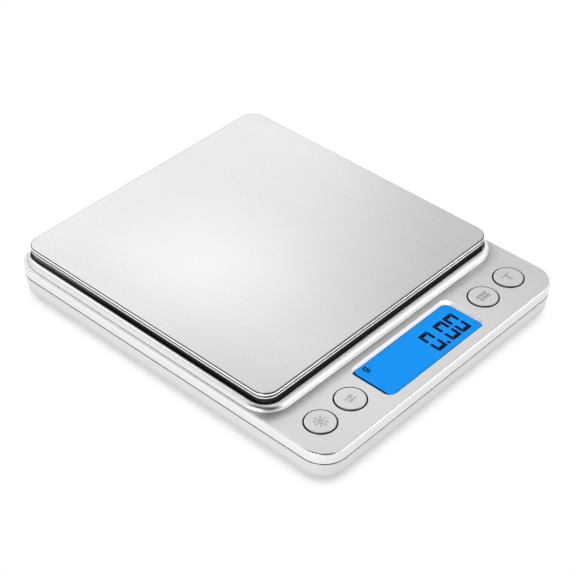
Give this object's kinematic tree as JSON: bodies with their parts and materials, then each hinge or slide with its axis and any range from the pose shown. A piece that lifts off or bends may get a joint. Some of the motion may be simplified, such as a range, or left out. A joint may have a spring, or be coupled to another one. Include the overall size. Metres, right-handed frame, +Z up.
{
  "type": "digital gram scale",
  "caption": "Pocket gram scale with a square brushed steel platform on a load cell, a backlit display, round keys and a battery door beneath.",
  "frame": {"origin": "centre of the footprint, on the table under the rubber feet", "axes": "+X to the reader's right, +Y from the display to the platform, +Z up"},
  "size_m": [0.106, 0.127, 0.018],
  "materials": {
    "shell_silver": "silver painted ABS, satin",
    "brushed_steel": "brushed stainless sheet",
    "black_plastic": "black ABS",
    "foam_tape": "white double-sided foam tape",
    "zinc_steel": "zinc plated steel screws",
    "aluminium": "machined aluminium",
    "gauge_foil": "polyimide gauge film",
    "silicone_white": "white silicone sealant",
    "wire_red": "PVC insulated leads",
    "pcb_green": "green solder mask on glass epoxy",
    "epoxy_black": "black epoxy",
    "tinned": "tinned leads",
    "capacitor_sleeve": "aluminium can",
    "smd_ceramic": "chip parts",
    "switch_black": "moulded switch body",
    "key_silver": "silver painted ABS, satin",
    "white_plastic": "white polycarbonate",
    "lcd_blue": "liquid crystal cell lit blue from behind",
    "lcd_dark": "dark display segments",
    "zebra": "layered conductive elastomer",
    "led_white": "side-firing LED",
    "clear_window": "clear acrylic",
    "cell_label": "plain sleeve on an AAA cell",
    "nickel": "nickel plated spring steel",
    "foot_rubber": "moulded rubber"
  },
  "bodies": {
    "housing": {"top_shell": "shell_silver", "bottom_shell": "shell_silver", "load_cell": "aluminium", "load_cell_spacer": "aluminium", "load_cell_screws": "zinc_steel", "overload_stop_screw": "zinc_steel", "strain_gauges": "gauge_foil", "gauge_sealant": "silicone_white", "load_cell_wires": "wire_red", "main_pcb": "pcb_green", "controller_glob": "epoxy_black", "adc_chip": "epoxy_black", "adc_chip_pins": "tinned", "crystal": "tinned", "electrolytic_capacitor": "capacitor_sleeve", "smd_parts": "smd_ceramic", "pcb_screws": "zinc_steel", "switch_bodies": "switch_black", "lcd_frame": "white_plastic", "lcd_glass": "lcd_blue", "lcd_segments": "lcd_dark", "zebra_strips": "zebra", "backlight_diffuser": "white_plastic", "backlight_leds": "led_white", "display_window": "clear_window", "battery_1": "cell_label", "battery_2": "cell_label", "spring_contact": "nickel", "plate_contact": "nickel", "bridge_contact": "nickel", "battery_wires": "wire_red", "case_screws": "zinc_steel", "rubber_feet": "foot_rubber"},
    "platform": {"platform_plate": "brushed_steel", "platform_tape": "foam_tape", "pan_carrier": "black_plastic", "carrier_screws": "zinc_steel", "carrier_spacer": "aluminium"},
    "light_key": {"button_light": "key_silver", "plunger_light": "switch_black"},
    "mode_key": {"button_mode": "key_silver", "plunger_mode": "switch_black"},
    "count_key": {"button_count": "key_silver", "plunger_count": "switch_black"},
    "tare_key": {"button_tare": "key_silver", "plunger_tare": "switch_black"},
    "battery_door": {"battery_door": "shell_silver"}
  },
  "joints": [
    {"name": "platform_travel", "type": "slide", "parent": "housing", "child": "platform", "axis": [0, 0, -1], "range_m": [0, 0.00035], "stiffness_N_per_m": 20000, "deforming": ["load_cell"]},
    {"name": "light_key_press", "type": "slide", "parent": "housing", "child": "light_key", "axis": [0, 0, -1], "range_m": [0, 0.0003], "stiffness_N_per_m": 120},
    {"name": "mode_key_press", "type": "slide", "parent": "housing", "child": "mode_key", "axis": [0, 0, -1], "range_m": [0, 0.0003], "stiffness_N_per_m": 120},
    {"name": "count_key_press", "type": "slide", "parent": "housing", "child": "count_key", "axis": [0, 0, -1], "range_m": [0, 0.0003], "stiffness_N_per_m": 120},
    {"name": "tare_key_press", "type": "slide", "parent": "housing", "child": "tare_key", "axis": [0, 0, -1], "range_m": [0, 0.0003], "stiffness_N_per_m": 120},
    {"name": "battery_door_hinge", "type": "hinge", "parent": "housing", "child": "battery_door", "pos_m": [0, 0.0295, 0.0021], "axis": [-1, 0, 0], "range_deg": [0, 85]}
  ]
}
